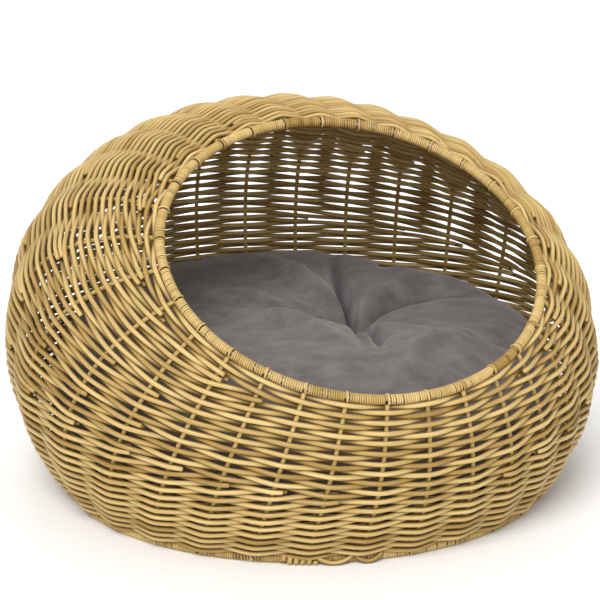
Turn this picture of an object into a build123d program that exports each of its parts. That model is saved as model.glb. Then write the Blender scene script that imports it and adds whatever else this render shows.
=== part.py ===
"""Domed wicker pet bed: two wrapped steel hoops, thirty ribs, a wall woven in five bands, a woven floor
and a loose tufted cushion.

Millimetres. +Z is up, the tilted mouth faces -Y, and the origin is the centre of the model's plan, on the
floor. The wall is described by one outer profile, turned about a centre that drifts back with height, and
every layer of the wall is that surface moved inwards by a depth.
"""
from build123d import *
from math import acos, cos, hypot, pi, radians, sin, sqrt
import os

os.makedirs("parts", exist_ok=True)

# Outer shape of the wall
BELLY_RADIUS = 260.0
BELLY_HEIGHT = 118.0
DOME_HEIGHT = 326.6
FOOT_RATIO = 0.818
FOOT_POWER = 1.89
DOME_POWER = 2.34
CROWN_POWER = 1.953
DOME_DRIFT = 66.8

# Mouth: a plane that leans back, at a distance from the centre of the foot
MOUTH_TILT = 34.0
MOUTH_DISTANCE = 254.6

# Strands, ribs and hoops
WALL = 12.0
WEAVE_LAYER = 3.7
RIB = 3.6
RIB_COUNT = 30
FIRST_RIB_ANGLE = 3.6
FIRST_RIB_AT_MOUTH = 13.5
RIB_CENTRE_HEIGHT = 100.0
# Towards the back the ribs bend: at the waist they keep this share of their angle from the back, and how far
# a rib bends grows between the two shares of the way from front to back
RIB_WAIST_HEIGHT = 150.0
RIB_WAIST_ANGLE = 0.93
RIB_BEND_START = 0.1
RIB_BEND_END = 0.9
RIB_SAMPLES = 60
RIB_POINT_SPACING = 24.0
HOOP_WIRE = 5.0
HOOP_WRAPPED = 8.6
HOOP_PLAY = 0.05
BASE_HOOP_RADIUS = 208.4
FOOT_FLAT = 0.5

# Limits of the woven bands, each a height above the floor where the plane crosses the front of the wall,
# and the rise of the plane from front to back
BASE_ROWS_TOP = 62.0
LOWER_WEDGE_FRONT = 69.0
LOWER_WEDGE_SLOPE = 0.295
UPPER_WEDGE_FRONT = 133.0
UPPER_WEDGE_SLOPE = 0.40
RIM_ROWS_DEPTH = 8.5
MOUTH_WEAVE_GAP = 4.5

# Coarse lashing along the outside of the base hoop
LASHING_STRAND = 4.0
LASHING_FROM = -25.0
LASHING_TO = -3.0

# Floor: two woven sheets with wires between them
FLOOR_RADIUS = 202.8
FLOOR_LIFT = 1.0
FLOOR_SHEET = 2.7
FLOOR_WIRE = 2.8
FLOOR_WIRE_START = 30.0
FLOOR_WIRE_PLAY = 0.15

# Cushion
CUSHION_RADIUS = 233.0
CUSHION_FLAT_RADIUS = 165.0
CUSHION_BELLY = 76.0
CUSHION_SHOULDER_RADIUS = 200.0
CUSHION_SHOULDER = 130.0
CUSHION_HEIGHT = 140.0
CUSHION_OFFSET = 7.0
CUSHION_GAP = 0.3
CLOTH = 1.2
TUFT_X = 45.0
TUFT_Y = -9.0
TUFT_BALL = 22.0
TUFT_DEPTH = 7.0
TUFT_THREAD = 1.6
TUFT_HOLE = 1.8


def drift(z):
    """How far behind the foot's centre the wall's centre lies at height z."""
    return DOME_DRIFT * (z / DOME_HEIGHT) ** 2


def wall_radius(z):
    """Outer radius of the wall at height z."""
    if z < BELLY_HEIGHT:
        below = (BELLY_HEIGHT - z) / BELLY_HEIGHT
        taper = (1 - FOOT_RATIO ** FOOT_POWER) * below ** FOOT_POWER
        return BELLY_RADIUS * (1 - taper) ** (1 / FOOT_POWER)
    above = min((z - BELLY_HEIGHT) / (DOME_HEIGHT - BELLY_HEIGHT), 1.0)
    return BELLY_RADIUS * (1 - above ** DOME_POWER) ** (1 / CROWN_POWER)


def plan_centre():
    """Y of the foot's centre that puts the middle of the whole plan at zero."""
    heights = [DOME_HEIGHT * i / 400 for i in range(401)]
    back = max(drift(z) + wall_radius(z) for z in heights)
    front = max(wall_radius(z) - drift(z) for z in heights)
    return (front - back) / 2


FOOT_Y = plan_centre()


def layer_ring(z, depth):
    """Radius, centre y and height of the ring that lies under the outer surface at height z."""
    step = 0.01
    top = min(z + step, DOME_HEIGHT - 1e-6)
    slope = (wall_radius(top) - wall_radius(top - 2 * step)) / (2 * step)
    length = hypot(1, slope)
    radius = wall_radius(z) - depth / length
    height = z + depth * slope / length
    return radius, FOOT_Y + drift(z), height


def ring_at_height(height, depth):
    """The same ring, found from its own height by halving."""
    low = -20.0
    high = DOME_HEIGHT - 0.01
    for _ in range(30):
        middle = (low + high) / 2
        if layer_ring(middle, depth)[2] < height:
            low = middle
        else:
            high = middle
    return layer_ring(low, depth)


def is_inside(point, depth):
    """Whether a point lies inside the layer at that depth."""
    if point.Z > DOME_HEIGHT - depth - 0.05:
        return False
    radius, centre_y, _ = ring_at_height(point.Z, depth)
    return hypot(point.X, point.Y - centre_y) < radius


def reach(start, direction, depth):
    """The point where a ray from inside meets the layer."""
    near = 0.0
    far = 600.0
    for _ in range(30):
        middle = (near + far) / 2
        if is_inside(start + direction * middle, depth):
            near = middle
        else:
            far = middle
    return start + direction * near


# The mouth's plane, its own axes and the middle of the wall's thickness
MOUTH_NORMAL = Vector(0, -sin(radians(MOUTH_TILT)), cos(radians(MOUTH_TILT)))
MOUTH_UP = Vector(0, cos(radians(MOUTH_TILT)), sin(radians(MOUTH_TILT)))
FOOT_CENTRE = Vector(0, FOOT_Y, 0)
MOUTH_CENTRE = FOOT_CENTRE + MOUTH_NORMAL * MOUTH_DISTANCE + MOUTH_UP * 20.0
MID_WALL = WALL / 2
RIB_CENTRE = Vector(0, FOOT_Y + drift(RIB_CENTRE_HEIGHT), RIB_CENTRE_HEIGHT)
RIB_WAIST_CENTRE = Vector(0, FOOT_Y + drift(RIB_WAIST_HEIGHT), RIB_WAIST_HEIGHT)
BASE_HOOP_Z = HOOP_WRAPPED / 2 - FOOT_FLAT


def mouth_outline(count):
    """Points round the rim hoop's centre line, from the front towards +X."""
    points = []
    for i in range(count):
        turn = 2 * pi * i / count
        direction = Vector(1, 0, 0) * sin(turn) - MOUTH_UP * cos(turn)
        points.append(reach(MOUTH_CENTRE, direction, MID_WALL))
    return points


def point_along(points, distance):
    """The point at a distance along a row of points."""
    for start, end in zip(points, points[1:]):
        length = (end - start).length
        if distance <= length:
            return start + (end - start) * (distance / length)
        distance -= length
    return points[-1]


def length_of(points):
    return sum((end - start).length for start, end in zip(points, points[1:]))


def mouth_plane(depth):
    """The mouth's plane moved back into the wall."""
    return Plane(origin=FOOT_CENTRE + MOUTH_NORMAL * (MOUTH_DISTANCE - depth), z_dir=MOUTH_NORMAL)


def hoop(centre_line, radius):
    """A round bar of one radius along a closed centre line."""
    start = centre_line @ 0
    section = Plane(origin=start, z_dir=centre_line % 0) * Circle(radius)
    return sweep(section, path=centre_line)


def save(shape, node):
    export_step(shape, f"parts/{node}.step")


# Hoops and the fine strand wrapped round each. The bed stands on a narrow flat of the base wrapping
RIM_LINE = Spline([tuple(p) for p in mouth_outline(40)], periodic=True)
rim_wrapped = hoop(RIM_LINE, HOOP_WRAPPED / 2)
save(hoop(RIM_LINE, HOOP_WIRE / 2), "rim_hoop_wire")
save(rim_wrapped - hoop(RIM_LINE, HOOP_WIRE / 2 + HOOP_PLAY), "rim_wrapping_strand")

base_centre = Pos(0, FOOT_Y, BASE_HOOP_Z)
base_wire = base_centre * Torus(BASE_HOOP_RADIUS, HOOP_WIRE / 2)
base_core = base_centre * Torus(BASE_HOOP_RADIUS, HOOP_WIRE / 2 + HOOP_PLAY)
base_wrapped = split(base_centre * Torus(BASE_HOOP_RADIUS, HOOP_WRAPPED / 2), bisect_by=Plane.XY)
save(base_wire, "base_hoop_wire")
save(base_wrapped - base_core, "base_wrapping_strand")


mouth_points = mouth_outline(240)
mouth_points.append(mouth_points[0])
mouth_length = length_of(mouth_points)


def end_gap(rib_direction, hoop_direction):
    """How far short of a hoop's centre line a rib stops, so that its end lies on the wrapping."""
    across = abs(rib_direction.normalized().dot(hoop_direction.normalized()))
    return (HOOP_WRAPPED / 2 + HOOP_PLAY + RIB / 2 * across) / sqrt(1 - across ** 2)


def rib_plane(angle, foot, head):
    """Normal of the plane of a rib: through the middle of the bed in front, through a waist point at the back."""
    across = (foot - RIB_CENTRE).cross(head - RIB_CENTRE).normalized()
    waist_angle = pi + RIB_WAIST_ANGLE * (angle % (2 * pi) - pi)
    waist = reach(RIB_WAIST_CENTRE, Vector(sin(waist_angle), -cos(waist_angle), 0), MID_WALL)
    bent = (waist - foot).cross(head - foot).normalized()
    if bent.dot(across) < 0:
        bent = -bent
    behind = (1 - cos(angle)) / 2
    part = min(max((behind - RIB_BEND_START) / (RIB_BEND_END - RIB_BEND_START), 0), 1)
    share = part * part * (3 - 2 * part)
    return (across * (1 - share) + bent * share).normalized()


def rib_line(index):
    """Centre line of one rib: in its plane along the middle of the wall, from the base hoop to the rim."""
    angle = radians(FIRST_RIB_ANGLE + index * 360 / RIB_COUNT)
    outward = Vector(sin(angle), -cos(angle), 0)
    foot = FOOT_CENTRE + outward * BASE_HOOP_RADIUS + Vector(0, 0, BASE_HOOP_Z)
    head_distance = FIRST_RIB_AT_MOUTH + index * mouth_length / RIB_COUNT
    head = point_along(mouth_points, head_distance)
    head_direction = point_along(mouth_points, head_distance + 1) - head
    across = rib_plane(angle, foot, head)
    centre = RIB_CENTRE + across * (foot - RIB_CENTRE).dot(across)
    first = (foot - centre).normalized()
    last = (head - centre).normalized()
    turn = acos(first.dot(last))
    side = (last - first * cos(turn)) / sin(turn)
    points = [foot]
    for i in range(1, RIB_SAMPLES):
        part = turn * i / RIB_SAMPLES
        points.append(reach(centre, first * cos(part) + side * sin(part), MID_WALL))
    points.append(head)
    start = end_gap(points[1] - points[0], Vector(0, 0, 1).cross(outward))
    end = length_of(points) - end_gap(points[-1] - points[-2], head_direction)
    count = round((end - start) / RIB_POINT_SPACING)
    stations = [start + (end - start) * i / count for i in range(count + 1)]
    return Spline([tuple(point_along(points, station)) for station in stations])


def bar(line, radius):
    section = Plane(origin=line @ 0, z_dir=line % 0) * Circle(radius)
    return sweep(section, path=line)


for number in range(RIB_COUNT):
    save(bar(rib_line(number), RIB / 2), f"rib_{number + 1:02d}")


def wall_solid(depth):
    """Everything inside one layer of the wall, up to a small flat at the crown."""
    heights = [-6.0, 16.0, 42.0, 68.0, 94.0]
    heights += [BELLY_HEIGHT + (DOME_HEIGHT - BELLY_HEIGHT) * sin(radians(a)) for a in range(0, 88, 8)]
    heights.append(BELLY_HEIGHT + (DOME_HEIGHT - BELLY_HEIGHT) * sin(radians(87)))
    sections = []
    for z in heights:
        radius, centre_y, height = layer_ring(z, depth)
        sections.append(Pos(0, centre_y, height) * Circle(radius))
    return loft(sections)


def leaning_plane(front_height, slope):
    """A plane with a given height at the front of the wall and a rise towards the back."""
    return Plane(origin=(0, FOOT_Y - BELLY_RADIUS, front_height), z_dir=(0, -slope, 1))


# Wall: the weave outside the ribs and the weave inside them, each cut into five bands of rows
foot_plane = Plane(origin=(0, 0, BASE_HOOP_Z + HOOP_WRAPPED / 2 + HOOP_PLAY))
base_plane = Plane(origin=(0, 0, BASE_ROWS_TOP))
lower_plane = leaning_plane(LOWER_WEDGE_FRONT, LOWER_WEDGE_SLOPE)
upper_plane = leaning_plane(UPPER_WEDGE_FRONT, UPPER_WEDGE_SLOPE)
rim_plane = mouth_plane(MOUTH_WEAVE_GAP + RIM_ROWS_DEPTH)
for side, near, far in (("outer", 0, WEAVE_LAYER), ("inner", WALL - WEAVE_LAYER, WALL)):
    layer = wall_solid(near) - wall_solid(far)
    layer = split(layer, bisect_by=foot_plane, keep=Keep.TOP)
    layer = split(layer, bisect_by=mouth_plane(MOUTH_WEAVE_GAP), keep=Keep.BOTTOM)
    save(split(layer, bisect_by=rim_plane, keep=Keep.TOP), f"rim_rows_{side}")
    layer = split(layer, bisect_by=rim_plane, keep=Keep.BOTTOM)
    save(split(layer, bisect_by=upper_plane, keep=Keep.TOP), f"upper_wedge_rows_{side}")
    layer = split(layer, bisect_by=upper_plane, keep=Keep.BOTTOM)
    save(split(layer, bisect_by=lower_plane, keep=Keep.TOP), f"middle_rows_{side}")
    layer = split(layer, bisect_by=lower_plane, keep=Keep.BOTTOM)
    save(split(layer, bisect_by=base_plane, keep=Keep.TOP), f"lower_wedge_rows_{side}")
    save(split(layer, bisect_by=base_plane, keep=Keep.BOTTOM), f"base_rows_{side}")


def plan_point(angle, radius, z):
    """A point at an angle from the front towards +X, about the foot's centre."""
    return (radius * sin(radians(angle)), FOOT_Y - radius * cos(radians(angle)), z)


# Lashing: the thick strand that binds the front of the base hoop, lying against its outside
lashing_radius = BASE_HOOP_RADIUS + (HOOP_WRAPPED + LASHING_STRAND) / 2 + HOOP_PLAY
lashing_angles = (LASHING_FROM, (LASHING_FROM + LASHING_TO) / 2, LASHING_TO)
lashing_line = ThreePointArc(*[plan_point(a, lashing_radius, BASE_HOOP_Z) for a in lashing_angles])
save(bar(lashing_line, LASHING_STRAND / 2), "base_lashing_strand")

# Floor: wires like spokes between an upper and a lower woven sheet
wire_z = FLOOR_LIFT + FLOOR_SHEET + FLOOR_WIRE_PLAY + FLOOR_WIRE / 2
upper_sheet_z = wire_z + FLOOR_WIRE / 2 + FLOOR_WIRE_PLAY
floor_top = upper_sheet_z + FLOOR_SHEET
wires = []
for number in range(RIB_COUNT):
    angle = FIRST_RIB_ANGLE + number * 360 / RIB_COUNT
    line = Line(plan_point(angle, FLOOR_WIRE_START, wire_z), plan_point(angle, FLOOR_RADIUS, wire_z))
    wires.append(bar(line, FLOOR_WIRE / 2))
save(Compound(children=wires), "floor_spoke_wires")
sheet = extrude(Circle(FLOOR_RADIUS), FLOOR_SHEET)
save(Pos(0, FOOT_Y, FLOOR_LIFT) * sheet, "floor_weave_lower")
save(Pos(0, FOOT_Y, upper_sheet_z) * sheet, "floor_weave_upper")


def pad(inset):
    """The cushion's rounded form, shrunk evenly by an inset, standing on z = inset."""
    flat = CUSHION_FLAT_RADIUS
    radius = CUSHION_RADIUS - inset
    top = CUSHION_HEIGHT - inset
    belly = (radius, CUSHION_BELLY)
    under = Bezier((flat, inset), ((flat + radius) / 2, inset), (radius, CUSHION_BELLY * 0.45), belly)
    over = Bezier(belly, (radius, CUSHION_SHOULDER - inset), (CUSHION_SHOULDER_RADIUS, top), (0, top))
    base = Line((0, inset), (flat, inset))
    middle = Line((0, top), (0, inset))
    half = make_face(Plane.XZ * Wire([base, under, over, middle]))
    return revolve(half, axis=Axis.Z)


def tuft_balls(radius):
    """Two balls that press the tuft's dimples into the top and the underside."""
    top = CUSHION_HEIGHT + TUFT_BALL - TUFT_DEPTH
    bottom = TUFT_DEPTH / 2 - TUFT_BALL
    return [Pos(TUFT_X, TUFT_Y - cushion_y, z) * Sphere(radius) for z in (top, bottom)]


# Cushion: a thin sewn cover, its filling, and the thread that pulls both sides together at the tuft
cushion_y = FOOT_Y + CUSHION_OFFSET
cushion_place = Pos(0, cushion_y, floor_top + CUSHION_GAP)
thread_hole = Pos(TUFT_X, TUFT_Y - cushion_y, CUSHION_HEIGHT / 2) * Cylinder(TUFT_HOLE / 2, CUSHION_HEIGHT)
thread_bottom = TUFT_DEPTH / 2
thread_top = CUSHION_HEIGHT - TUFT_DEPTH
thread = Cylinder(TUFT_THREAD / 2, thread_top - thread_bottom)
thread = Pos(TUFT_X, TUFT_Y - cushion_y, (thread_top + thread_bottom) / 2) * thread
outside = pad(0) - tuft_balls(TUFT_BALL)
inside = pad(CLOTH) - tuft_balls(TUFT_BALL + CLOTH)
save(cushion_place * (outside - inside - thread_hole), "cushion_cover")
save(cushion_place * (inside - thread_hole), "cushion_filling")
save(cushion_place * thread, "cushion_tuft_thread")
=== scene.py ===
"""Looks of the wicker pet bed: every strand of the weave, the wound hoops, the lashing, the woven floor and the
tufted cushion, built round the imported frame. Lengths are worked out in millimetres and stored in metres."""

from math import cos, pi, radians, sin

import bpy
import numpy as np
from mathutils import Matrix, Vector


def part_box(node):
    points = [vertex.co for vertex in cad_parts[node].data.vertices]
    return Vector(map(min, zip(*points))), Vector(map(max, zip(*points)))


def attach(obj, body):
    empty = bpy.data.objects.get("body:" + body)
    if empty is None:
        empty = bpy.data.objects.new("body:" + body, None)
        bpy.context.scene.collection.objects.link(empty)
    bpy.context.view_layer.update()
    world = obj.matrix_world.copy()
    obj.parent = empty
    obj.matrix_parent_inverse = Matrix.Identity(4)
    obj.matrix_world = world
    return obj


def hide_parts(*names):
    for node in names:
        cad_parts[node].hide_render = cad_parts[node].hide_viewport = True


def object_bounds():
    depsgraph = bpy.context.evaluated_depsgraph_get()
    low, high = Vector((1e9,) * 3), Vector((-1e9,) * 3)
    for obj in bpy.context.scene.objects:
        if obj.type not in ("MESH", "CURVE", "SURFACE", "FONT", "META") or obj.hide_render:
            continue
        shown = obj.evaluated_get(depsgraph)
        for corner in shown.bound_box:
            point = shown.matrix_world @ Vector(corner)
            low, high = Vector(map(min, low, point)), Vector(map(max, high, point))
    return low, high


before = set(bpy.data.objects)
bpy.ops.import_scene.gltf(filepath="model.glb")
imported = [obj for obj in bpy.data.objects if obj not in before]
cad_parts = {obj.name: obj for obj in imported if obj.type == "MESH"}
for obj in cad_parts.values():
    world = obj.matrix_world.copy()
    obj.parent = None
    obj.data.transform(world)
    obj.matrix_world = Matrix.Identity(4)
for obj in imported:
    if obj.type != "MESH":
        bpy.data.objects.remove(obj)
cad_low, cad_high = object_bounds()

MM = 0.001
UP = (0.0, 0.0, 1.0)
SEED = 7
rng = np.random.default_rng(SEED)

# The wall's outer surface and the ribs, as in the CAD: a profile turned about a centre that drifts back
# with height, and ribs that bend towards the back
BELLY_RADIUS = 260.0
BELLY_HEIGHT = 118.0
DOME_HEIGHT = 326.6
FOOT_RATIO = 0.818
FOOT_POWER = 1.89
DOME_POWER = 2.34
CROWN_POWER = 1.953
DOME_DRIFT = 66.8
MOUTH_TILT = 34.0
MOUTH_DISTANCE = 254.6
MOUTH_SHIFT = 20.0
MID_WALL = 6.0
RIB_COUNT = 30
FIRST_RIB_ANGLE = 3.6
FIRST_RIB_AT_MOUTH = 13.5
RIB_CENTRE_HEIGHT = 100.0
RIB_WAIST_HEIGHT = 150.0
RIB_WAIST_ANGLE = 0.93
RIB_BEND_START = 0.1
RIB_BEND_END = 0.9
BASE_HOOP_RADIUS = 208.4
HOOP_RADIUS = 4.3
BASE_HOOP_Z = 3.8

# The weave
STRAND_RADIUS = 2.06
ROW_PITCH = 4.05
LOOSE_LEFT = 0.08
LOOSE_RIGHT = 0.22
LOOSE_ANGLE = 45.0
ROW_STIFFNESS = 200.0
ENDS_HELD = 1000.0
RELAXING_STEPS = 700
BASE_ROWS = 16
RIM_ROWS = 3
FULL_ROWS = 35
ZONES = (("", 16), ("A", 5), ("B", 6), ("C", 5), ("D", 3))
PAIR_ORDER = "AADADADA" + "BCAD" * 9
WEAVE_SWING = 3.75
WEAVE_ROUNDING = 0.94
ROW_WANDER = 0.2
CUT_END = (2, 4)
STEPS_PER_RIB = 12
BACK_LINE = 180
TUBE_SIDES = 8
FINE_SIDES = 6
CAP_BULGE = 0.15

# How much painted shade darkens the hollows between strands: in the middle, towards the open side and along the
# flanks
HOLLOW_SHADE_MIDDLE = 0.3
HOLLOW_SHADE_FACING = 0.6
HOLLOW_SHADE_SIDES = 0.4

# The fine strand wound round the hoops: turns a step apart, some of them looser, and a raised turn at each rib
HOOP_CORE = 2.5
HOOP_STEPS = 720
WRAP_RADIUS = 0.92
WRAP_PITCH = 1.85
WRAP_STEPS = 10
LOOSE_TURN_SHARE = 0.16
COLLAR_ROOM = 1.5
COLLAR_RAISE = 1.9
COLLAR_SLANT = 2.0
COLLAR_THICKER = 1.15
LOOSE_TURN = (1.25, 1.5)
CLOSE_TURN = (0.97, 1.03)

# The lashing: angles round the base hoop from its front, in degrees
LASHING_START = -25.0
LASHING_LOOP = -18.0
LASHING_TURNS = 5
LASHING_LOOPS = ((-18.0, -10.0), (-9.5, -3.5))
LASHING_STEPS = 120

# The floor
FLOOR_RADIUS = 202.8
FLOOR_FIRST_ROW = 30.0
FLOOR_MIDDLE = 5.25
FLOOR_STRAND = 1.35
FLOOR_SWING = 2.85
FLOOR_PITCH = 2.95
FLOOR_STEPS = 6

# The cushion, and the folds on its top: three plan points, a height, and a width at each end
TUFT = (45.0, -9.0)
TUFT_HELD = 9.0
TUFT_PIT = 13.0
TUFT_BASIN = 3.0
SWELL_ROOM = 8.0
SWELL_CAP = 14.0
BELLY_SHARE = 0.5
EDGE_LIFT = 26.0
EDGE_DROP = 6.0
CUSHION_DEPTH = 13.0
# how deep a fold pulls the top down before its painted crease shade is full
CREASE_SHADE_DEPTH = 20.0
PAD_LEVELS = 29
PAD_SPOKES = 72
PAD_SIDE_BELOW = 0.42
PAD_SIDE_ABOVE = 0.3
FOLD_STEPS = 48
SWELLING_FRAMES = 20
FOLDS = (
    ((47, 0), (60, 70), (100, 190), -22.0, 5, 9),
    ((36, 2), (34, 80), (-5, 190), 15.0, 9, 17),
    ((55, -8), (110, 35), (205, 5), -17.0, 6, 12),
    ((60, 5), (120, 62), (200, 40), 14.0, 10, 18),
    ((48, -18), (54, -70), (5, -165), -16.0, 4, 8),
    ((38, -22), (28, -90), (-10, -170), -10.0, 5, 9),
    ((30, -8), (-30, 4), (-85, -35), -16.0, 8, 20),
    ((-70, -32), (-10, -20), (-4, -165), 13.0, 9, 13),
    ((-30, 20), (-90, 60), (-150, 120), 11.0, 10, 16),
    ((28, -172), (70, -110), (150, -78), 10.0, 8, 14),
    ((60, -182), (80, -190), (100, -186), -8.0, 4, 6),
)

# Studio floor, light and camera
STUDIO_SIZE = 9.0
STUDIO_DROP = 0.0003
ROOM_LIGHT = 0.55
SUN_SPREAD = 32.0
CAMERA_AZIMUTH = -20.2
CAMERA_HEIGHT = 15.99
CAMERA_DISTANCE = 2.110
CAMERA_LENS = 144.86
CAMERA_SHIFT = (-0.0094, -0.0035)


# ---------------------------------------------------------------- the wall's surface
def wall_radius(z):
    below = np.clip((BELLY_HEIGHT - z) / BELLY_HEIGHT, 0, None)
    above = np.clip((z - BELLY_HEIGHT) / (DOME_HEIGHT - BELLY_HEIGHT), 0, 1)
    foot = (1 - (1 - FOOT_RATIO ** FOOT_POWER) * below ** FOOT_POWER) ** (1 / FOOT_POWER)
    dome = (1 - above ** DOME_POWER) ** (1 / CROWN_POWER)
    return BELLY_RADIUS * np.where(z < BELLY_HEIGHT, foot, dome)


def drift(z):
    return DOME_DRIFT * (z / DOME_HEIGHT) ** 2


profile_z = np.linspace(0, DOME_HEIGHT, 401)
widest_back = np.max(drift(profile_z) + wall_radius(profile_z))
widest_front = np.max(wall_radius(profile_z) - drift(profile_z))
FOOT_Y = (widest_front - widest_back) / 2


def layer_table(depth):
    """Height, radius and centre y of the rings of the surface that lies at a depth inside the wall."""
    turn = np.linspace(0, pi / 2, 1500)
    z = np.concatenate([np.linspace(-20, BELLY_HEIGHT, 600, endpoint=False),
                        BELLY_HEIGHT + (DOME_HEIGHT - BELLY_HEIGHT) * np.sin(turn)])
    step = 0.01
    top = np.minimum(z + step, DOME_HEIGHT - 1e-6)
    slope = (wall_radius(top) - wall_radius(top - 2 * step)) / (2 * step)
    length = np.hypot(1, slope)
    return z + depth * slope / length, wall_radius(z) - depth / length, FOOT_Y + drift(z)


MID = layer_table(MID_WALL)
MID_SLOPES = np.gradient(MID[1], MID[0]), np.gradient(MID[2], MID[0])


def reach(start, directions):
    """Where rays from a point inside meet the middle of the wall."""
    near = np.zeros(len(directions))
    far = np.full(len(directions), 600.0)
    for _ in range(40):
        middle = (near + far) / 2
        p = start + directions * middle[:, None]
        radius = np.interp(p[:, 2], MID[0], MID[1], right=-1.0)
        centre = np.interp(p[:, 2], MID[0], MID[2])
        inside = np.hypot(p[:, 0], p[:, 1] - centre) < radius
        near = np.where(inside, middle, near)
        far = np.where(inside, far, middle)
    return start + directions * near[:, None]


def outward(points):
    """The wall's outward normal at points on its middle surface."""
    centre = np.interp(points[:, 2], MID[0], MID[2])
    x = points[:, 0]
    y = points[:, 1] - centre
    flat = np.maximum(np.hypot(x, y), 1e-6)
    rise = np.interp(points[:, 2], MID[0], MID_SLOPES[0])
    lean = np.interp(points[:, 2], MID[0], MID_SLOPES[1])
    normal = np.stack([x / flat, y / flat, -rise - y / flat * lean], 1)
    return unit(normal)


def unit(vectors):
    return vectors / np.maximum(np.linalg.norm(vectors, axis=-1, keepdims=True), 1e-9)


TILT = radians(MOUTH_TILT)
MOUTH_NORMAL = np.array([0, -sin(TILT), cos(TILT)])
MOUTH_UP = np.array([0, cos(TILT), sin(TILT)])
MOUTH_CENTRE = np.array([0, FOOT_Y, 0]) + MOUTH_NORMAL * MOUTH_DISTANCE + MOUTH_UP * MOUTH_SHIFT
RIB_CENTRE = np.array([0, FOOT_Y + drift(RIB_CENTRE_HEIGHT), RIB_CENTRE_HEIGHT])
RIB_WAIST_CENTRE = np.array([0, FOOT_Y + drift(RIB_WAIST_HEIGHT), RIB_WAIST_HEIGHT])


def lengths_along(points):
    return np.concatenate([[0], np.cumsum(np.linalg.norm(np.diff(points, axis=0), axis=1))])


def at_length(points, lengths, wanted):
    return np.stack([np.interp(wanted, lengths, points[:, i]) for i in range(3)], 1)


mouth_turn = np.linspace(0, 2 * pi, HOOP_STEPS + 1)
mouth_line = reach(MOUTH_CENTRE,
                   np.outer(np.sin(mouth_turn), [1, 0, 0]) - np.outer(np.cos(mouth_turn), MOUTH_UP))
mouth_lengths = lengths_along(mouth_line)
MOUTH_LENGTH = mouth_lengths[-1]


# ---------------------------------------------------------------- rib lines, also between the real ribs
def ease(part):
    return part * part * (3 - 2 * part)


def rib_plane(angle, foot, head):
    """Normal of a rib's plane: through the middle of the bed in front, through a waist point at the back."""
    across = unit(np.cross(foot - RIB_CENTRE, head - RIB_CENTRE))
    waist_angle = pi + RIB_WAIST_ANGLE * (angle % (2 * pi) - pi)
    waist = reach(RIB_WAIST_CENTRE, np.array([[sin(waist_angle), -cos(waist_angle), 0]]))[0]
    bent = unit(np.cross(waist - foot, head - foot))
    bent *= np.sign(bent @ across)
    behind = (1 - cos(angle)) / 2
    share = ease(min(max((behind - RIB_BEND_START) / (RIB_BEND_END - RIB_BEND_START), 0), 1))
    return unit(across * (1 - share) + bent * share)


class RibLine:
    """A line up the wall from the base hoop to the rim, at a rib number that may be a fraction."""

    def __init__(self, number):
        angle = radians(FIRST_RIB_ANGLE + number * 360 / RIB_COUNT)
        foot = np.array([BASE_HOOP_RADIUS * sin(angle), FOOT_Y - BASE_HOOP_RADIUS * cos(angle), BASE_HOOP_Z])
        head_at = (FIRST_RIB_AT_MOUTH + number * MOUTH_LENGTH / RIB_COUNT) % MOUTH_LENGTH
        head = at_length(mouth_line, mouth_lengths, np.array([head_at]))[0]
        across = rib_plane(angle, foot, head)
        centre = RIB_CENTRE + across * ((foot - RIB_CENTRE) @ across)
        first = unit(foot - centre)
        last = unit(head - centre)
        sweep = np.arccos(first @ last)
        side = (last - first * cos(sweep)) / sin(sweep)
        part = np.linspace(0, sweep, 160)
        self.points = reach(centre, np.outer(np.cos(part), first) + np.outer(np.sin(part), side))
        self.lengths = lengths_along(self.points)
        self.length = self.lengths[-1]

    def at(self, distance):
        return at_length(self.points, self.lengths, np.atleast_1d(distance))


FINE = STEPS_PER_RIB * RIB_COUNT
rib_lines = [RibLine(i / STEPS_PER_RIB) for i in range(FINE)]


# ---------------------------------------------------------------- which rows cross each rib, and where
FIRST_ROW = HOOP_RADIUS + STRAND_RADIUS
RIB_LENGTHS = np.array([rib_lines[rib * STEPS_PER_RIB].length for rib in range(RIB_COUNT)])
LINE_LENGTHS = np.array([line.length for line in rib_lines])


def row_pitch(rib):
    """The rows lie a little looser at the sides, and most on the +X side."""
    angle = (FIRST_RIB_ANGLE + rib * 360 / RIB_COUNT + 180) % 360 - 180
    looseness = LOOSE_RIGHT if angle > 0 else LOOSE_LEFT
    return ROW_PITCH + looseness * np.exp(-((abs(angle) - LOOSE_ANGLE) / LOOSE_ANGLE) ** 2)


def pair_count(rib):
    """How many pairs of short rows a rib has room for between the rows that run all the way round."""
    room = (RIB_LENGTHS[rib] - 2 * FIRST_ROW) / row_pitch(rib) + 1
    return min(max(int(round((room - FULL_ROWS) / 2)), 0), len(PAIR_ORDER))


def lay_rows():
    """Every row from the base to the rim, as (zone, the ribs that it crosses)."""
    pairs = [pair_count(rib) for rib in range(RIB_COUNT)]
    rows = []
    for zone, full_rows in ZONES:
        wanted = [PAIR_ORDER[:count].count(zone) if zone else 0 for count in pairs]
        for pair in range(max(wanted)):
            crossed = [rib for rib in range(RIB_COUNT) if wanted[rib] > pair]
            rows += [(zone, crossed), (zone, crossed)]
        rows += [(None, list(range(RIB_COUNT)))] * full_rows
    return rows


def crossed_lines(crossed):
    """The rib lines that a row covers: all of them, or those between its two tails."""
    if len(crossed) == RIB_COUNT:
        return np.arange(FINE)
    tails = rng.integers(*CUT_END, 2)
    return np.arange(crossed[0] * STEPS_PER_RIB - tails[0], crossed[-1] * STEPS_PER_RIB + tails[1] + 1) % FINE


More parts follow.
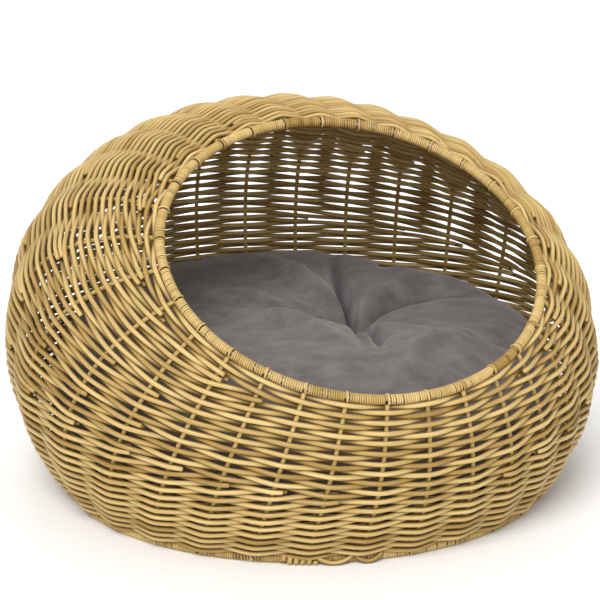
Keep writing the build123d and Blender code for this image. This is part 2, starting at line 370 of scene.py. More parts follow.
def relaxed(rows, columns):
    """Lengths up the rib lines at which the rows lie: close to evenly spaced, and smooth along each row."""
    present = np.zeros((len(rows), FINE), bool)
    for r, covered in enumerate(columns):
        present[r, covered] = True
    ranks = np.cumsum(present, 0) - 1
    steps = (LINE_LENGTHS - 2 * FIRST_ROW) / (present.sum(0) - 1)
    lengths = FIRST_ROW + ranks * steps
    order = np.arange(present.size).reshape(present.shape)
    pairs = [(order[np.flatnonzero(present[:, j])[:-1], j], order[np.flatnonzero(present[:, j])[1:], j])
             for j in range(FINE)]
    below = np.concatenate([pair[0] for pair in pairs])
    above = np.concatenate([pair[1] for pair in pairs])
    before = np.roll(order, 1, 1)
    after = np.roll(order, -1, 1)
    bendable = present & np.roll(present, 1, 1) & np.roll(present, -1, 1)
    left, middle, right = before[bendable], order[bendable], after[bendable]
    curve = np.roll(LINE_LENGTHS, 1) - 2 * LINE_LENGTHS + np.roll(LINE_LENGTHS, -1)
    curve = (lengths / LINE_LENGTHS * curve)[bendable]
    fixed = np.concatenate([pairs[j][0][:1] for j in range(FINE)] + [pairs[j][1][-1:] for j in range(FINE)])

    def residuals(x):
        return x[above] - x[below], x[left] - 2 * x[middle] + x[right], x[fixed]

    def gathered(spacing, bending, ends):
        total = np.bincount(above, spacing, present.size) - np.bincount(below, spacing, present.size)
        bent = ROW_STIFFNESS * bending
        total += np.bincount(left, bent, present.size) + np.bincount(right, bent, present.size)
        total -= 2 * np.bincount(middle, bent, present.size)
        return total + np.bincount(fixed, ENDS_HELD * ends, present.size)

    x = lengths.ravel().copy()
    spaced, curved, held = residuals(x)
    wanted_steps = np.concatenate([np.full(len(pair[0]), steps[j]) for j, pair in enumerate(pairs)])
    rest = gathered(wanted_steps - spaced, curve - curved, np.zeros(len(fixed)))
    direction = rest.copy()
    size = rest @ rest
    for _ in range(RELAXING_STEPS):
        spread = gathered(*residuals(direction))
        move = size / (direction @ spread)
        x += move * direction
        rest -= move * spread
        following = rest @ rest
        direction = rest + following / size * direction
        size = following
    return ranks, x.reshape(present.shape)


# ---------------------------------------------------------------- strands as meshes
class Strands:
    """Round strands gathered into one mesh. Every point also keeps where it lies in its own strand."""

    def __init__(self, sides=TUBE_SIDES):
        self.sides = sides
        self.corners = []
        self.faces = []
        self.triangles = []
        self.fibres = []
        self.tones = []
        self.hollow_shades = []
        self.count = 0

    def add(self, line, outward_hint, radius, closed=False, exposure=1.0):
        """One strand along a line, in millimetres. The hint is the direction out from what it lies on,
        and the exposure runs from 1, where that side is open to the eye, to -1, where the other side is;
        the side turned away from the open one, and the flanks, get painted shade as in the hollows between
        strands."""
        line = np.asarray(line, float)
        n = len(line)
        if closed:
            tangent = unit(np.roll(line, -1, 0) - np.roll(line, 1, 0))
        else:
            tangent = unit(np.gradient(line, axis=0))
        across = unit(outward_hint - np.sum(outward_hint * tangent, 1, keepdims=True) * tangent)
        side = np.cross(tangent, across)
        turn = np.arange(self.sides) * 2 * pi / self.sides
        radii = np.broadcast_to(radius, n)[:, None, None]
        ring = np.cos(turn)[None, :, None] * across[:, None] + np.sin(turn)[None, :, None] * side[:, None]
        self.corners.append((line[:, None] + radii * ring).reshape(-1, 3))
        along = lengths_along(line) + rng.uniform(0, 4000)
        fibre = np.empty((n, self.sides, 3))
        fibre[..., 0] = along[:, None]
        fibre[..., 1] = radii[..., 0] * np.cos(turn)
        fibre[..., 2] = radii[..., 0] * np.sin(turn)
        self.fibres.append(fibre.reshape(-1, 3))
        # Painted shade kept per point: darker on the side away from the open side and on the flanks, where
        # shade falls between strands
        facing = np.broadcast_to(exposure, n)[:, None] * np.cos(turn)
        hollow_shade = HOLLOW_SHADE_MIDDLE - HOLLOW_SHADE_FACING * facing + HOLLOW_SHADE_SIDES * np.abs(np.sin(turn))
        self.hollow_shades.append(np.clip(hollow_shade, 0, 1).ravel())
        tone = rng.uniform(0, 1)
        self.tones.append(np.full(n * self.sides, tone))
        i = np.arange(n if closed else n - 1)[:, None]
        j = np.arange(self.sides)[None]
        after = (i + 1) % n
        beside = (j + 1) % self.sides
        quads = np.stack([i * self.sides + j, i * self.sides + beside,
                          after * self.sides + beside, after * self.sides + j], -1)
        self.faces.append(self.count + quads.reshape(-1, 4))
        start = self.count
        self.count += n * self.sides
        if not closed:
            self.cap(line[0] - tangent[0] * radii[0, 0, 0] * CAP_BULGE, start, along[0], tone, True)
            self.cap(line[-1] + tangent[-1] * radii[-1, 0, 0] * CAP_BULGE,
                     start + (n - 1) * self.sides, along[-1], tone, False)

    def cap(self, centre, first, along, tone, flipped):
        """Closes one end of a strand round a middle point."""
        j = np.arange(self.sides)
        beside = (j + 1) % self.sides
        middle = np.full(self.sides, self.count)
        edge = [first + j, first + beside] if flipped else [first + beside, first + j]
        self.triangles.append(np.stack([middle, edge[1], edge[0]], -1))
        self.corners.append(centre[None])
        self.fibres.append(np.array([[along, 0.0, 0.0]]))
        self.tones.append(np.array([tone]))
        # no painted shade at the cap's middle point
        self.hollow_shades.append(np.zeros(1))
        self.count += 1

    def piece(self, name, material, body, slot, *nodes):
        """The gathered strands as one object that rides on a body and stands for CAD nodes."""
        corners = np.concatenate(self.corners) * MM
        quads = np.concatenate(self.faces)
        triangles = np.concatenate(self.triangles) if self.triangles else np.empty((0, 3), int)
        mesh = bpy.data.meshes.new(name)
        mesh.vertices.add(len(corners))
        mesh.vertices.foreach_set("co", corners.astype(np.float32).ravel())
        mesh.loops.add(quads.size + triangles.size)
        loops = np.concatenate([quads.ravel(), triangles.ravel()])
        mesh.loops.foreach_set("vertex_index", loops.astype(np.int32))
        mesh.polygons.add(len(quads) + len(triangles))
        starts = np.concatenate([np.arange(len(quads)) * 4, quads.size + np.arange(len(triangles)) * 3])
        mesh.polygons.foreach_set("loop_start", starts.astype(np.int32))
        mesh.polygons.foreach_set("use_smooth", np.ones(len(starts), bool))
        mesh.update(calc_edges=True)
        keep_vectors(mesh, "fibre", np.concatenate(self.fibres))
        keep_values(mesh, "tone", np.concatenate(self.tones))
        # the painted shade per point, read by the strand finishes
        keep_values(mesh, "hollow_shade", np.concatenate(self.hollow_shades))
        mesh.materials.append(material)
        return placed(name, mesh, body, slot, *nodes)


def keep_vectors(mesh, name, values):
    attribute = mesh.attributes.new(name, "FLOAT_VECTOR", "POINT")
    attribute.data.foreach_set("vector", np.asarray(values, np.float32).ravel())


def keep_values(mesh, name, values):
    attribute = mesh.attributes.new(name, "FLOAT", "POINT")
    attribute.data.foreach_set("value", np.asarray(values, np.float32))


def placed(name, mesh, body, slot, *nodes):
    piece = bpy.data.objects.new(name, mesh)
    bpy.context.scene.collection.objects.link(piece)
    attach(piece, body)
    if nodes:
        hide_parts(*nodes)
    return piece


# ---------------------------------------------------------------- materials
class Finish:
    """A material and short ways to build its nodes."""

    def __init__(self, name):
        self.material = bpy.data.materials.new(name)
        self.material.use_nodes = True
        self.tree = self.material.node_tree
        self.shader = self.tree.nodes["Principled BSDF"]

    def node(self, kind, sockets=None, **settings):
        made = self.tree.nodes.new(kind)
        for key, value in settings.items():
            setattr(made, key, value)
        for key, value in (sockets or {}).items():
            self.join(value, made.inputs[key])
        return made

    def join(self, value, socket):
        if isinstance(value, bpy.types.NodeSocket):
            self.tree.links.new(value, socket)
        else:
            socket.default_value = value

    def attribute(self, name):
        return self.node("ShaderNodeAttribute", attribute_name=name)

    def stretched(self, vector, scale):
        """The vector with each of its parts scaled."""
        made = self.node("ShaderNodeVectorMath", {0: vector, 1: scale}, operation="MULTIPLY")
        return made.outputs[0]

    def noise(self, vector, scale, detail=2.0, roughness=0.5):
        sockets = {"Vector": vector, "Scale": scale, "Detail": detail, "Roughness": roughness}
        return self.node("ShaderNodeTexNoise", sockets).outputs["Fac"]

    def ramp(self, value, *stops):
        """A value turned into a colour through (place, colour) stops."""
        made = self.node("ShaderNodeValToRGB", {"Fac": value})
        elements = made.color_ramp.elements
        while len(elements) < len(stops):
            elements.new(0.5)
        for element, (place, colour) in zip(elements, stops):
            element.position = place
            element.color = (*colour, 1)
        return made.outputs["Color"]

    def span(self, value, low, high, to_low=0.0, to_high=1.0):
        """A value moved from one range to another and held inside it."""
        sockets = {"Value": value, "From Min": low, "From Max": high, "To Min": to_low, "To Max": to_high}
        return self.node("ShaderNodeMapRange", sockets).outputs["Result"]

    def mix(self, share, first, second, blend="MIX"):
        made = self.node("ShaderNodeMix", data_type="RGBA", blend_type=blend)
        for value, socket in zip((share, first, second), (made.inputs[0], made.inputs[6], made.inputs[7])):
            self.join(value if isinstance(value, (float, bpy.types.NodeSocket)) else (*value, 1), socket)
        return made.outputs[2]

    def bump(self, height, distance, strength=1.0):
        sockets = {"Height": height, "Distance": distance, "Strength": strength}
        self.join(self.node("ShaderNodeBump", sockets).outputs["Normal"], self.shader.inputs["Normal"])


def straw_finish(name, place, tone, light, middle, dark, blush, roughness):
    """Straw-coloured strand: fine fibres along it, slow changes of tone and a few darker flecks, and on
    strands that keep it, painted shade in the hollows between them.

    The place is a function of a Finish that gives the vector (along, across, across) in millimetres."""
    finish = Finish(name)
    where = place(finish)
    fibres = finish.noise(finish.stretched(where, (0.035, 1.6, 1.6)), 1.0, 3.0, 0.6)
    slow = finish.noise(finish.stretched(where, (0.011, 0.05, 0.05)), 1.0, 2.0, 0.5)
    patches = finish.noise(finish.stretched(where, (0.05, 0.22, 0.22)), 1.0, 3.0, 0.55)
    shade = finish.node("ShaderNodeMath", {0: tone(finish), 1: slow}, operation="ADD").outputs[0]
    base = finish.ramp(finish.span(shade, 0.45, 1.55), (0.0, dark), (0.4, middle), (1.0, light))
    streaked = finish.mix(finish.span(fibres, 0.38, 0.66, 0.0, 0.55), base, dark)
    blushed = finish.mix(finish.span(patches, 0.56, 0.72, 0.0, 0.5), streaked, blush)
    # Painted shade: the hollows between strands are darkened towards a deep brown
    if place is along_strand:
        hollow_shade = finish.attribute("hollow_shade").outputs["Fac"]
        blushed = finish.mix(finish.span(hollow_shade, 0.3, 1.0, 0.0, 0.92), blushed, STRAW_PAINTED_SHADE)
    finish.join(blushed, finish.shader.inputs["Base Color"])
    gloss = finish.span(fibres, 0.3, 0.7, roughness - 0.08, roughness + 0.12)
    finish.join(gloss, finish.shader.inputs["Roughness"])
    finish.shader.inputs["Specular IOR Level"].default_value = 0.42
    finish.bump(fibres, 0.00018, 0.7)
    return finish.material


def along_strand(finish):
    return finish.attribute("fibre").outputs["Vector"]


def strand_tone(finish):
    return finish.attribute("tone").outputs["Fac"]


def in_space(finish):
    """Millimetres in the object's own space, for parts that have no strand attributes."""
    return finish.stretched(finish.node("ShaderNodeTexCoord").outputs["Object"], (1000.0, 1000.0, 1000.0))


def middling(finish):
    return finish.noise(finish.stretched(in_space(finish), (0.02, 0.02, 0.02)), 1.0)


def steel_finish():
    finish = Finish("hoop_steel_finish")
    grain = finish.noise(finish.stretched(in_space(finish), (0.4, 0.4, 0.4)), 1.0, 3.0)
    colour = finish.ramp(finish.span(grain, 0.35, 0.65), (0.0, (0.16, 0.16, 0.17)), (1.0, (0.33, 0.33, 0.34)))
    finish.join(colour, finish.shader.inputs["Base Color"])
    finish.join(finish.span(grain, 0.3, 0.7, 0.34, 0.5), finish.shader.inputs["Roughness"])
    finish.shader.inputs["Metallic"].default_value = 1.0
    finish.bump(grain, 0.0001, 0.4)
    return finish.material


def velour_finish():
    finish = Finish("cushion_velour_finish")
    where = in_space(finish)
    pile = finish.noise(finish.stretched(where, (1.5, 1.5, 1.5)), 1.0, 3.0, 0.7)
    nap = finish.noise(finish.stretched(where, (0.045, 0.07, 0.06)), 1.0, 4.0, 0.6)
    brushed = finish.ramp(finish.span(nap, 0.36, 0.66), (0.0, VELOUR_DARK), (1.0, VELOUR_LIGHT))
    colour = finish.mix(finish.span(pile, 0.35, 0.65, 0.0, 0.55), brushed, VELOUR_DARK)
    warmth = finish.noise(finish.stretched(where, (0.02, 0.03, 0.03)), 1.0, 2.0)
    colour = finish.mix(finish.span(warmth, 0.4, 0.7, 0.0, 0.35), colour, VELOUR_WARM)
    # Painted shade in the creases where the folds pull the top down
    crease_shade = finish.attribute("crease_shade").outputs["Fac"]
    colour = finish.mix(finish.span(crease_shade, 0.1, 1.0, 0.0, 0.75), colour, VELOUR_CREASE_SHADE)
    finish.join(colour, finish.shader.inputs["Base Color"])
    finish.shader.inputs["Roughness"].default_value = 0.95
    finish.shader.inputs["Specular IOR Level"].default_value = 0.15
    finish.shader.inputs["Sheen Weight"].default_value = 0.35
    finish.shader.inputs["Sheen Roughness"].default_value = 0.45
    finish.shader.inputs["Sheen Tint"].default_value = (0.75, 0.70, 0.70, 1)
    finish.bump(pile, 0.0005, 0.6)
    return finish.material


STRAW_LIGHT = (0.70, 0.515, 0.21)
STRAW_MIDDLE = (0.54, 0.375, 0.13)
STRAW_DARK = (0.30, 0.175, 0.035)
# deep brown of the painted shade in the hollows between strands
STRAW_PAINTED_SHADE = (0.13, 0.066, 0.007)
STRAW_BLUSH = (0.58, 0.35, 0.15)
VELOUR_DARK = (0.105, 0.095, 0.092)
VELOUR_LIGHT = (0.185, 0.169, 0.164)
VELOUR_WARM = (0.15, 0.126, 0.125)
# dark of the painted shade in the cushion's creases
VELOUR_CREASE_SHADE = (0.05, 0.045, 0.044)

woven_straw = straw_finish("woven_strand_finish", along_strand, strand_tone,
                           STRAW_LIGHT, STRAW_MIDDLE, STRAW_DARK, STRAW_BLUSH, 0.46)
fine_straw = straw_finish("fine_strand_finish", along_strand, strand_tone,
                          STRAW_LIGHT, STRAW_MIDDLE, STRAW_DARK, STRAW_BLUSH, 0.5)
rib_straw = straw_finish("rib_strand_finish", in_space, middling,
                         STRAW_LIGHT, STRAW_MIDDLE, STRAW_DARK, STRAW_BLUSH, 0.5)
steel = steel_finish()
velour = velour_finish()


# ---------------------------------------------------------------- the wall
def unevenness(columns):
    """Small slow wandering along a row, in millimetres, that comes back to itself after a turn."""
    turns = columns * 2 * pi / FINE
    wave = np.zeros(len(columns))
    for beats in (3, 7, 16, 29):
        wave += np.sin(turns * beats + rng.uniform(0, 2 * pi)) * rng.uniform(0.3, 1)
    return wave * ROW_WANDER / 2


def row_line(columns, heights, phase):
    """A row's line: outside one rib and inside the next."""
    points = np.concatenate([rib_lines[c].at(h) for c, h in zip(columns, heights)])
    normals = outward(points)
    swing = WEAVE_SWING * (1 + 0.05 * np.sin(columns * 0.14 + rng.uniform(0, 2 * pi)))
    wave = WEAVE_ROUNDING * np.cos(pi * (columns / STEPS_PER_RIB + phase))
    depth = swing * np.arcsin(wave) / np.arcsin(WEAVE_ROUNDING)
    # which side of the strand lies open: outward where it passes outside a rib, inward where it passes inside;
    # it sets the painted shade
    return points + normals * depth[:, None], normals, depth / WEAVE_SWING


def weave_wall():
    rows = lay_rows()
    columns = [crossed_lines(crossed) for _, crossed in rows]
    ranks, lengths = relaxed(rows, columns)
    zones = [zone for zone, _ in rows]
    first_middle = max(i for i, zone in enumerate(zones) if zone == "A") + 1
    first_upper = zones.index("D")
    first_rim = len(rows) - RIM_ROWS
    bands = (("base_rows", 0, BASE_ROWS), ("lower_wedge_rows", BASE_ROWS, first_middle),
             ("middle_rows", first_middle, first_upper), ("upper_wedge_rows", first_upper, first_rim),
             ("rim_rows", first_rim, len(rows)))
    for name, start, end in bands:
        strands = Strands()
        for r in range(start, end):
            closed = len(columns[r]) == FINE
            covered = np.roll(columns[r], BACK_LINE) if closed else columns[r]
            heights = lengths[r, covered] + unevenness(covered)
            line, normals, exposure = row_line(covered, heights, ranks[r, covered[len(covered) // 2]])
            strands.add(line, normals, STRAND_RADIUS * rng.uniform(0.97, 1.03), closed, exposure)
        strands.piece(name, woven_straw, "basket", "woven_strand", f"{name}_outer", f"{name}_inner")


weave_wall()


# ---------------------------------------------------------------- hoops wound with fine strand
def closed_frame(line):
    """Directions across a closed line: away from its middle, and square to that."""
    tangent = unit(np.roll(line, -1, 0) - np.roll(line, 1, 0))
    away = line - line.mean(0)
    away = unit(away - np.sum(away * tangent, 1, keepdims=True) * tangent)
    return away, np.cross(tangent, away)


def winding(name, core, collars, *nodes):
    """A fine strand wound round a closed core line in close turns, with a raised turn at each collar."""
    core = np.vstack([core, core[:1]])
    lengths = lengths_along(core)
    away, beside = closed_frame(core[:-1])
    away = np.vstack([away, away[:1]])
    beside = np.vstack([beside, beside[:1]])
    strands = Strands(FINE_SIDES)
    marks = np.sort(collars) % lengths[-1]
    for start, end in zip(marks, np.append(marks[1:], marks[0] + lengths[-1])):
        places = [start + COLLAR_ROOM]
        while places[-1] < end - COLLAR_ROOM:
            loose = rng.uniform() < LOOSE_TURN_SHARE
            places.append(places[-1] + WRAP_PITCH * rng.uniform(*(LOOSE_TURN if loose else CLOSE_TURN)))
        steps = np.arange(0, len(places) - 1, 1 / WRAP_STEPS)
        at = np.interp(steps, np.arange(len(places)), places)
        strands.add(*helix(core, lengths, away, beside, at, steps, HOOP_CORE + WRAP_RADIUS), WRAP_RADIUS)
        steps = np.arange(-0.08, 1.1, 1 / WRAP_STEPS)
        raised = helix(core, lengths, away, beside, start + (steps - 0.5) * COLLAR_SLANT, steps + 0.25,
                       HOOP_CORE + WRAP_RADIUS * COLLAR_RAISE)
        strands.add(*raised, WRAP_RADIUS * COLLAR_THICKER)
    return strands.piece(name, fine_straw, "basket", "fine_strand", *nodes)


def helix(core, lengths, away, beside, at, turns, radius):
    """Points on a coil round a core, and the directions out from it."""
    at = at % lengths[-1]
    centre = at_length(core, lengths, at)
    out = at_length(away, lengths, at)
    across = at_length(beside, lengths, at)
    angle = turns[:, None] * 2 * pi
    direction = unit(np.cos(angle) * out + np.sin(angle) * across)
    line = centre + direction * radius
    line[:, 2] = np.maximum(line[:, 2], WRAP_RADIUS)
    return line, direction


base_turn = np.linspace(0, 2 * pi, HOOP_STEPS, endpoint=False)
base_core = np.stack([BASE_HOOP_RADIUS * np.sin(base_turn), FOOT_Y - BASE_HOOP_RADIUS * np.cos(base_turn),
                      np.full(HOOP_STEPS, BASE_HOOP_Z)], 1)
rib_numbers = np.arange(RIB_COUNT)
winding("rim_wrapping", mouth_line[:-1], FIRST_RIB_AT_MOUTH + rib_numbers * MOUTH_LENGTH / RIB_COUNT,
        "rim_wrapping_strand")
base_length = 2 * pi * BASE_HOOP_RADIUS
winding("base_wrapping", base_core, (FIRST_RIB_ANGLE / 360 + rib_numbers / RIB_COUNT) * base_length,
        "base_wrapping_strand")


# ---------------------------------------------------------------- lashing along the front of the base hoop
def around_base(angles, out, up):
    """Points round the base hoop: an angle from the front, how far out from its centre line and how high."""
    turn, out, up = np.broadcast_arrays(np.radians(angles), out, up)
    radius = BASE_HOOP_RADIUS + out
    return np.stack([radius * np.sin(turn), FOOT_Y - radius * np.cos(turn), BASE_HOOP_Z + up], 1)


def lashing():
    strands = Strands()
    steps = np.linspace(0, 1, LASHING_STEPS)
    turns = steps * LASHING_TURNS * 2 * pi
    angles = LASHING_START + (LASHING_LOOP - LASHING_START) * steps
    ring = HOOP_RADIUS + STRAND_RADIUS * 0.9
    up = np.maximum(ring * np.sin(turns), STRAND_RADIUS - BASE_HOOP_Z)
    away = around_base(angles, np.cos(turns), np.sin(turns)) - around_base(angles, 0, 0)
    strands.add(around_base(angles, ring * np.cos(turns), up), away, STRAND_RADIUS)
    for start, end in LASHING_LOOPS:
        arch = np.sin(steps * pi)
        angles = start + (end - start) * steps
        line = around_base(angles, ring - 0.5 + arch * 1.5, 4.0 - arch ** 0.7 * 6.0)
        strands.add(line, np.tile(UP, (LASHING_STEPS, 1)), STRAND_RADIUS * 0.9)
    return strands.piece("base_lashing", woven_straw, "basket", "woven_strand", "base_lashing_strand")


lashing()


# ---------------------------------------------------------------- floor
def woven_floor():
    """Rows wound outwards over and under the wires of the floor."""
    strands = Strands(FINE_SIDES)
    radii = np.arange(FLOOR_FIRST_ROW, FLOOR_RADIUS - FLOOR_STRAND, FLOOR_PITCH)
    count = RIB_COUNT * FLOOR_STEPS
    for i, radius in enumerate(radii):
        places = np.arange(count) / FLOOR_STEPS
        turn = np.radians(FIRST_RIB_ANGLE) + places * 2 * pi / RIB_COUNT
        height = FLOOR_MIDDLE + FLOOR_SWING * np.cos(pi * (places + i))
        line = np.stack([radius * np.sin(turn), FOOT_Y - radius * np.cos(turn), height], 1)
        strands.add(line, np.tile(UP, (count, 1)), FLOOR_STRAND, closed=True)
    return strands.piece("floor_weave", woven_straw, "basket", "woven_strand",
                         "floor_weave_lower", "floor_weave_upper")


woven_floor()


# ---------------------------------------------------------------- cushion
def pad_mesh():
    """The cushion's starting form, a little smaller than its CAD solid: a crowned round pad."""
    radius = cushion_radius - SWELL_ROOM
    top = cushion_high.z / MM - SWELL_ROOM
    low = cushion_low.z / MM + 1.0
    belly = low + (top - low) * BELLY_SHARE
    profile = []
    for turn in np.linspace(-pi / 2, pi / 2, PAD_LEVELS):
        out = np.abs(np.cos(turn)) ** (PAD_SIDE_BELOW if turn < 0 else PAD_SIDE_ABOVE)
        rise = np.sin(turn)
        height = belly + (rise * (belly - low) if rise < 0 else rise ** 0.9 * (top - belly))
        profile.append((radius * out, height))
    profile = [(0.0, low)] + profile[1:-1] + [(0.0, top)]
    corners = [(0.0, 0.0, low)]
    count = PAD_SPOKES
    for out, height in profile[1:-1]:
        for i in range(count):
            angle = 2 * pi * i / count
            corners.append((out * sin(angle), -out * cos(angle), height))
    corners.append((0.0, 0.0, top))
    rings = len(profile) - 2
    faces = [(0, 1 + (i + 1) % count, 1 + i) for i in range(count)]
    for ring in range(rings - 1):
        for i in range(count):
            a = 1 + ring * count + i
            b = 1 + ring * count + (i + 1) % count
            faces.append((a, b, b + count, a + count))
    last = 1 + (rings - 1) * count
    faces += [(last + i, last + (i + 1) % count, len(corners) - 1) for i in range(count)]
    points = np.array(corners) + [cushion_middle.x / MM, cushion_middle.y / MM, 0]
    mesh = bpy.data.meshes.new("cushion")
    mesh.from_pydata([tuple(p) for p in points * MM], [], faces)
    return mesh


def vertices_of(mesh):
    values = np.empty(len(mesh.vertices) * 3, np.float32)
    mesh.vertices.foreach_get("co", values)
    return values.reshape(-1, 3).astype(float) / MM


def set_vertices(mesh, points):
    mesh.vertices.foreach_set("co", (points * MM).astype(np.float32).ravel())
    mesh.update()


def evaluated(piece):
    graph = bpy.context.evaluated_depsgraph_get()
    return bpy.data.meshes.new_from_object(piece.evaluated_get(graph))


def applied(piece, kind, **settings):
    """The piece's mesh after one modifier."""
    modifier = piece.modifiers.new("step", kind)
    for key, value in settings.items():
        setattr(modifier, key, value)
    mesh = evaluated(piece)
    piece.modifiers.clear()
    piece.data = mesh
    return mesh


def swell(piece):
    """Fills the cover with pressure while the tuft and the underside are held."""
    start = vertices_of(piece.data)
    held = piece.vertex_groups.new(name="held")
    near_tuft = np.hypot(start[:, 0] - TUFT[0], start[:, 1] - TUFT[1]) < TUFT_HELD
    flat = start[:, 2] < cushion_low.z / MM + 6
    held.add([int(i) for i in np.flatnonzero(near_tuft | flat)], 1.0, "REPLACE")
    cloth = piece.modifiers.new("swelling", "CLOTH")
    cloth.settings.use_pressure = True
    cloth.settings.uniform_pressure_force = 4.0
    cloth.settings.vertex_group_mass = "held"
    cloth.settings.bending_stiffness = 0.3
    cloth.settings.effector_weights.gravity = 0.0
    for number in range(1, SWELLING_FRAMES + 1):
        bpy.context.scene.frame_set(number)
    moved = vertices_of(evaluated(piece))
    bpy.context.scene.frame_set(1)
    piece.modifiers.clear()
    piece.vertex_groups.clear()
    shift = moved - start
    size = np.linalg.norm(shift, axis=1, keepdims=True)
    set_vertices(piece.data, start + shift * np.minimum(1, SWELL_CAP / np.maximum(size, 1e-6)))


def fold_depths(points):
    """How far the pulls and ridges that run out from the tuft raise or lower the top."""
    total = np.zeros(len(points))
    for start, middle, end, height, first_width, last_width in FOLDS:
        share = np.linspace(0, 1, FOLD_STEPS)[:, None]
        line = ((1 - share) ** 2 * np.array(start) + 2 * share * (1 - share) * np.array(middle)
                + share ** 2 * np.array(end))
        gaps = np.linalg.norm(points[:, None, :2] - line[None], axis=2)
        nearest = gaps.argmin(1)
        place = nearest / (FOLD_STEPS - 1)
        width = first_width + (last_width - first_width) * place
        fade = 1 - ease(np.clip((place - 0.45) / 0.55, 0, 1))
        total += height * fade * np.exp(-(gaps.min(1) / width) ** 2)
    return total


def shape_cushion(points):
    """The tuft, its folds and the fit against the wall, laid over the swollen form."""
    centre = np.array([cushion_middle.x / MM, cushion_middle.y / MM])
    low = cushion_low.z / MM
    high = cushion_high.z / MM
    upper = ease(np.clip((points[:, 2] - (low + high) / 2 - 8) / 34, 0, 1))
    away = np.hypot(points[:, 0] - TUFT[0], points[:, 1] - TUFT[1])
    pit = -TUFT_PIT * np.exp(-(away / 17) ** 1.25) - TUFT_BASIN * np.exp(-(away / 95) ** 2)
    shaped = points.copy()
    shaped[:, 2] += upper * (pit + fold_depths(points))
    under = ease(np.clip((low + 14 - points[:, 2]) / 10, 0, 1))
    shaped[:, 2] += under * 3.0 * np.exp(-(away / 20) ** 2)
    from_middle = shaped[:, :2] - centre
    lie = np.arctan2(from_middle[:, 0], -from_middle[:, 1])
    out = np.hypot(from_middle[:, 0], from_middle[:, 1])
    rim = ease(np.clip((out - 110) / 110, 0, 1))
    lifted = EDGE_LIFT * (0.5 - 0.5 * np.cos(lie)) - EDGE_DROP * (0.5 + 0.5 * np.cos(lie))
    shaped[:, 2] += upper * rim * (lifted + 1.2 * np.sin(5 * lie + 1.0) + 0.8 * np.sin(9 * lie + 2.2))
    return inside_wall(shaped)


def inside_wall(points):
    """Points held inside the inner face of the wall."""
    table = layer_table(CUSHION_DEPTH)
    centre = np.interp(points[:, 2], table[0], table[2])
    limit = np.interp(points[:, 2], table[0], table[1])
    x = points[:, 0]
    y = points[:, 1] - centre
    out = np.maximum(np.hypot(x, y), 1e-6)
    share = np.minimum(1, limit / out)
    held = points.copy()
    held[:, 0] = x * share
    held[:, 1] = centre + y * share
    held[:, 2] = np.maximum(held[:, 2], cushion_low.z / MM)
    return held


cushion_low, cushion_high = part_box("cushion_cover")
cushion_middle = (cushion_low + cushion_high) / 2
cushion_radius = (cushion_high.x - cushion_low.x) / 2 / MM


def make_cushion():
    piece = placed("cushion", pad_mesh(), "cushion", "cushion_velour", "cushion_cover", "cushion_filling",
                   "cushion_tuft_thread")
    applied(piece, "REMESH", mode="VOXEL", voxel_size=0.006)
    swell(piece)
    mesh = applied(piece, "SUBSURF", levels=1, render_levels=1)
    swollen = vertices_of(mesh)
    set_vertices(mesh, shape_cushion(swollen))
    # painted shade for the creases, strongest where the folds pull deepest
    keep_values(mesh, "crease_shade", np.clip(-fold_depths(swollen) / CREASE_SHADE_DEPTH, 0, 1))
    mesh.polygons.foreach_set("use_smooth", np.ones(len(mesh.polygons), bool))
    mesh.materials.clear()
    mesh.materials.append(velour)
    return piece


make_cushion()

# ---------------------------------------------------------------- the CAD nodes that stay in view
for name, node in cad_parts.items():
    if node.hide_render:
        continue
    is_steel = name.endswith(("hoop_wire", "spoke_wires"))
    node.data.materials.clear()
    node.data.materials.append(steel if is_steel else rib_straw)
    for polygon in node.data.polygons:
        polygon.use_smooth = True


# ---------------------------------------------------------------- floor, light and camera
def pale_floor():
    mesh = bpy.data.meshes.new("studio_floor")
    square = ((-1, -1), (1, -1), (1, 1), (-1, 1))
    corners = [(x * STUDIO_SIZE, y * STUDIO_SIZE, -STUDIO_DROP) for x, y in square]
    mesh.from_pydata(corners, [], [(0, 1, 2, 3)])
    finish = Finish("pale_floor_finish")
    where = finish.node("ShaderNodeTexCoord").outputs["Object"]
    colour = finish.ramp(finish.noise(where, 2.0), (0.0, (0.9, 0.9, 0.9)), (1.0, (0.93, 0.93, 0.93)))
    finish.join(colour, finish.shader.inputs["Base Color"])
    finish.shader.inputs["Roughness"].default_value = 0.9
    finish.shader.inputs["Specular IOR Level"].default_value = 0.1
    mesh.materials.append(finish.material)
    floor = bpy.data.objects.new("studio_floor", mesh)
    bpy.context.scene.collection.objects.link(floor)


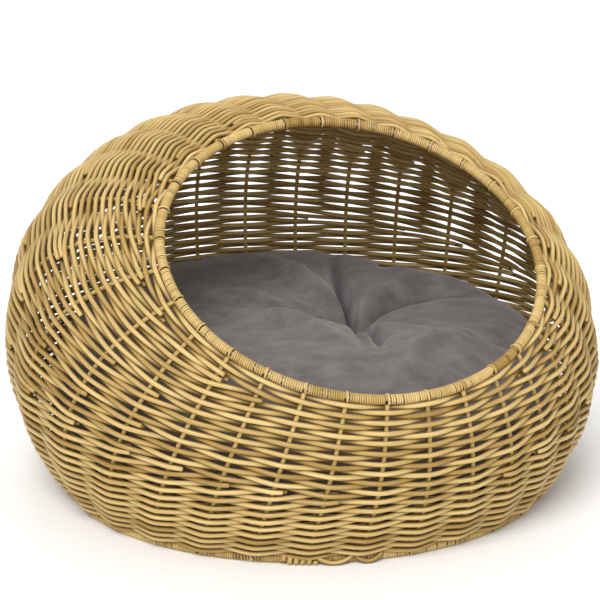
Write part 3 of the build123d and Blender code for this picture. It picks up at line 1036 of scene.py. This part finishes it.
def aimed(name, light, azimuth, height, distance):
    """A light that faces the bed; azimuth 0 is in front of it and 90 on its +X side."""
    lamp = bpy.data.objects.new(name, light)
    angle = radians(azimuth)
    rise = radians(height)
    target = Vector((0, 0, 0.15))
    lamp.location = target + distance * Vector((sin(angle) * cos(rise), -cos(angle) * cos(rise), sin(rise)))
    lamp.rotation_euler = (target - lamp.location).to_track_quat("-Z", "Y").to_euler()
    bpy.context.scene.collection.objects.link(lamp)


def panel(name, azimuth, height, distance, size, power):
    light = bpy.data.lights.new(name, "AREA")
    light.shape = "SQUARE"
    light.size = size
    light.energy = power
    aimed(name, light, azimuth, height, distance)


def sun(name, azimuth, height, strength):
    light = bpy.data.lights.new(name, "SUN")
    light.angle = radians(SUN_SPREAD)
    light.energy = strength
    aimed(name, light, azimuth, height, 3.0)


def white_room():
    world = bpy.data.worlds.new("white_room")
    world.use_nodes = True
    background = world.node_tree.nodes["Background"]
    background.inputs["Color"].default_value = (1, 1, 1, 1)
    paths = world.node_tree.nodes.new("ShaderNodeLightPath")
    strength = world.node_tree.nodes.new("ShaderNodeMapRange")
    strength.inputs["To Min"].default_value = ROOM_LIGHT
    strength.inputs["To Max"].default_value = 1.0
    world.node_tree.links.new(paths.outputs["Is Camera Ray"], strength.inputs["Value"])
    world.node_tree.links.new(strength.outputs["Result"], background.inputs["Strength"])
    bpy.context.scene.world = world
    bpy.context.scene.view_settings.view_transform = "Standard"


def photograph_camera():
    data = bpy.data.cameras.new("camera")
    data.sensor_width = 36.0
    data.lens = CAMERA_LENS
    data.shift_x, data.shift_y = CAMERA_SHIFT
    data.clip_start = 0.05
    data.clip_end = 50.0
    camera = bpy.data.objects.new("camera", data)
    turn = radians(CAMERA_AZIMUTH)
    rise = radians(CAMERA_HEIGHT)
    back = Vector((sin(turn) * cos(rise), -cos(turn) * cos(rise), sin(rise)))
    target = Vector((0, FOOT_Y * MM, (cad_low.z + cad_high.z) / 2))
    camera.location = target + back * CAMERA_DISTANCE
    camera.rotation_euler = (-back).to_track_quat("-Z", "Y").to_euler()
    bpy.context.scene.collection.objects.link(camera)
    bpy.context.scene.camera = camera


pale_floor()
white_room()
sun("key_light", -36, 45, 2.35)
panel("fill_light", -12, 26, 2.4, 1.8, 15)
panel("back_light", 165, 60, 2.4, 1.6, 14)
photograph_camera()
